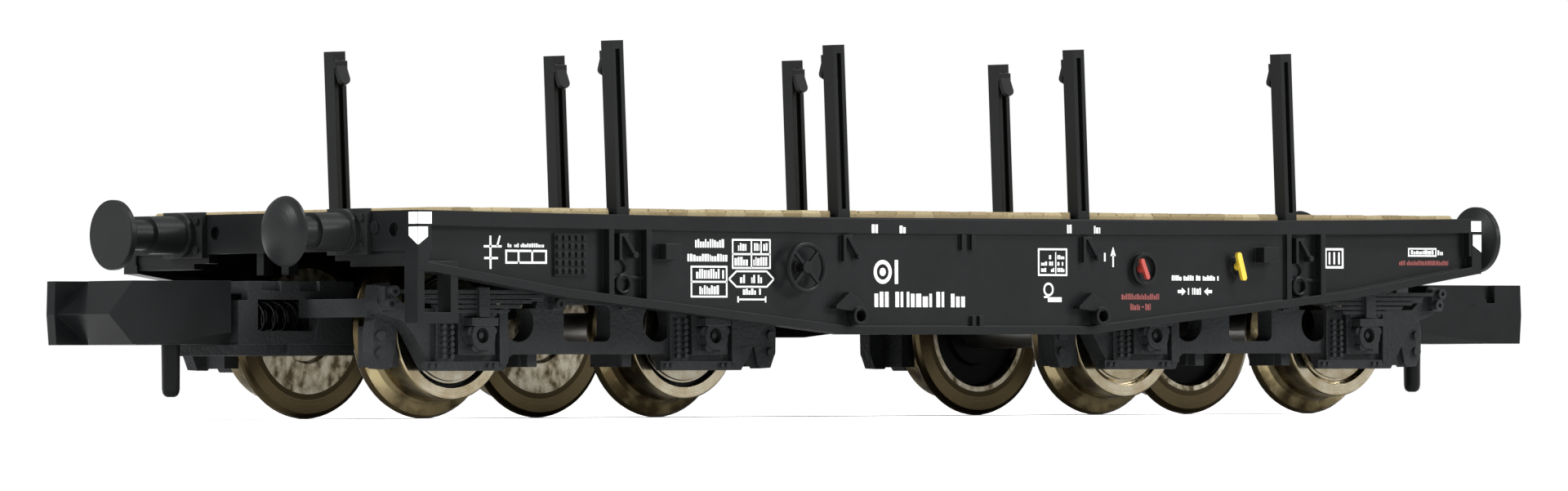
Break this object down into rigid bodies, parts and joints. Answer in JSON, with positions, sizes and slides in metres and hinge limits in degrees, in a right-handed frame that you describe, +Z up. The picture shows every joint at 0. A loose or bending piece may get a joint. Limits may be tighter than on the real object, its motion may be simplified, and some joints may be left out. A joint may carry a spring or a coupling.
{
  "type": "model flat car",
  "caption": "Model railway heavy flat wagon: fish-belly sills, plank deck, pull-out stakes, swivelling bogies with rolling wheelsets and hook couplers.",
  "frame": {"origin": "middle of the wagon's length and width, at the lowest points of the wheel flanges", "axes": "+X along the wagon towards end B, +Y across it towards the far side, +Z up"},
  "size_m": [0.0792, 0.0206, 0.0155],
  "materials": {
    "moulding": "satin charcoal moulded plastic",
    "stake_plastic": "satin black moulded plastic",
    "black_plastic": "satin black moulded plastic",
    "insulator": "black moulded plastic",
    "deck_wood": "pale bare wood with engraved planks",
    "ballast_steel": "bare sheet steel",
    "axle_steel": "turned steel",
    "spring_steel": "bright spring wire",
    "wheel_metal": "turned metal, nickel-bronze tint",
    "red_paint": "red painted plastic",
    "yellow_paint": "yellow painted plastic",
    "white_paint": "white printed ink of the markings"
  },
  "bodies": {
    "wagon_body": {"underframe": "moulding", "deck_planks": "deck_wood", "ballast_plate": "ballast_steel", "buffer_a_near": "moulding", "buffer_a_far": "moulding", "buffer_b_near": "moulding", "buffer_b_far": "moulding", "brake_wheel_near": "black_plastic", "brake_wheel_far": "black_plastic", "brake_lever_near": "red_paint", "brake_lever_far": "red_paint", "load_lever_near": "yellow_paint", "load_lever_far": "yellow_paint", "king_pin_a": "black_plastic", "king_pin_b": "black_plastic"},
    "stake_near_1": {"stake_near_1": "stake_plastic"},
    "stake_near_2": {"stake_near_2": "stake_plastic"},
    "stake_near_3": {"stake_near_3": "stake_plastic"},
    "stake_near_4": {"stake_near_4": "stake_plastic"},
    "stake_far_1": {"stake_far_1": "stake_plastic"},
    "stake_far_2": {"stake_far_2": "stake_plastic"},
    "stake_far_3": {"stake_far_3": "stake_plastic"},
    "stake_far_4": {"stake_far_4": "stake_plastic"},
    "bogie_a": {"bogie_frame_a": "moulding", "pocket_cover_a": "black_plastic", "coupler_spring_a": "spring_steel"},
    "coupler_a": {"coupler_a": "black_plastic"},
    "bogie_b": {"bogie_frame_b": "moulding", "pocket_cover_b": "black_plastic", "coupler_spring_b": "spring_steel"},
    "coupler_b": {"coupler_b": "black_plastic"},
    "wheelset_1": {"axle_1": "axle_steel", "solid_wheel_1": "wheel_metal", "wheel_tyre_1": "wheel_metal", "insulating_centre_1": "insulator"},
    "wheelset_2": {"axle_2": "axle_steel", "solid_wheel_2": "wheel_metal", "wheel_tyre_2": "wheel_metal", "insulating_centre_2": "insulator"},
    "wheelset_3": {"axle_3": "axle_steel", "solid_wheel_3": "wheel_metal", "wheel_tyre_3": "wheel_metal", "insulating_centre_3": "insulator"},
    "wheelset_4": {"axle_4": "axle_steel", "solid_wheel_4": "wheel_metal", "wheel_tyre_4": "wheel_metal", "insulating_centre_4": "insulator"}
  },
  "joints": [
    {"name": "stake_near_1_pull", "type": "slide", "parent": "wagon_body", "child": "stake_near_1", "axis": [-0.0384, 0, 0.9993], "range_m": [0, 0.004]},
    {"name": "stake_near_2_pull", "type": "slide", "parent": "wagon_body", "child": "stake_near_2", "axis": [-0.0384, 0, 0.9993], "range_m": [0, 0.004]},
    {"name": "stake_near_3_pull", "type": "slide", "parent": "wagon_body", "child": "stake_near_3", "axis": [-0.0384, 0, 0.9993], "range_m": [0, 0.004]},
    {"name": "stake_near_4_pull", "type": "slide", "parent": "wagon_body", "child": "stake_near_4", "axis": [-0.0384, 0, 0.9993], "range_m": [0, 0.004]},
    {"name": "stake_far_1_pull", "type": "slide", "parent": "wagon_body", "child": "stake_far_1", "axis": [-0.0384, 0, 0.9993], "range_m": [0, 0.004]},
    {"name": "stake_far_2_pull", "type": "slide", "parent": "wagon_body", "child": "stake_far_2", "axis": [-0.0384, 0, 0.9993], "range_m": [0, 0.004]},
    {"name": "stake_far_3_pull", "type": "slide", "parent": "wagon_body", "child": "stake_far_3", "axis": [-0.0384, 0, 0.9993], "range_m": [0, 0.004]},
    {"name": "stake_far_4_pull", "type": "slide", "parent": "wagon_body", "child": "stake_far_4", "axis": [-0.0384, 0, 0.9993], "range_m": [0, 0.004]},
    {"name": "bogie_a_swivel", "type": "hinge", "parent": "wagon_body", "child": "bogie_a", "pos_m": [-0.0186, 0, 0.0055], "axis": [0, 0, 1], "range_deg": [-6, 6]},
    {"name": "coupler_a_lift", "type": "hinge", "parent": "bogie_a", "child": "coupler_a", "pos_m": [-0.03215, 0, 0.00421], "axis": [0, 1, 0], "range_deg": [0, 8], "stiffness_Nm_per_rad": 0.00002},
    {"name": "bogie_b_swivel", "type": "hinge", "parent": "wagon_body", "child": "bogie_b", "pos_m": [0.0186, 0, 0.0055], "axis": [0, 0, 1], "range_deg": [-6, 6]},
    {"name": "coupler_b_lift", "type": "hinge", "parent": "bogie_b", "child": "coupler_b", "pos_m": [0.03215, 0, 0.00421], "axis": [0, -1, 0], "range_deg": [0, 8], "stiffness_Nm_per_rad": 0.00002},
    {"name": "wheelset_1_roll", "type": "hinge", "parent": "bogie_a", "child": "wheelset_1", "pos_m": [-0.02483, 0, 0.00365], "axis": [0, 1, 0], "continuous": true},
    {"name": "wheelset_2_roll", "type": "hinge", "parent": "bogie_a", "child": "wheelset_2", "pos_m": [-0.01237, 0, 0.00365], "axis": [0, 1, 0], "continuous": true},
    {"name": "wheelset_3_roll", "type": "hinge", "parent": "bogie_b", "child": "wheelset_3", "pos_m": [0.01237, 0, 0.00365], "axis": [0, 1, 0], "continuous": true},
    {"name": "wheelset_4_roll", "type": "hinge", "parent": "bogie_b", "child": "wheelset_4", "pos_m": [0.02483, 0, 0.00365], "axis": [0, 1, 0], "continuous": true}
  ]
}
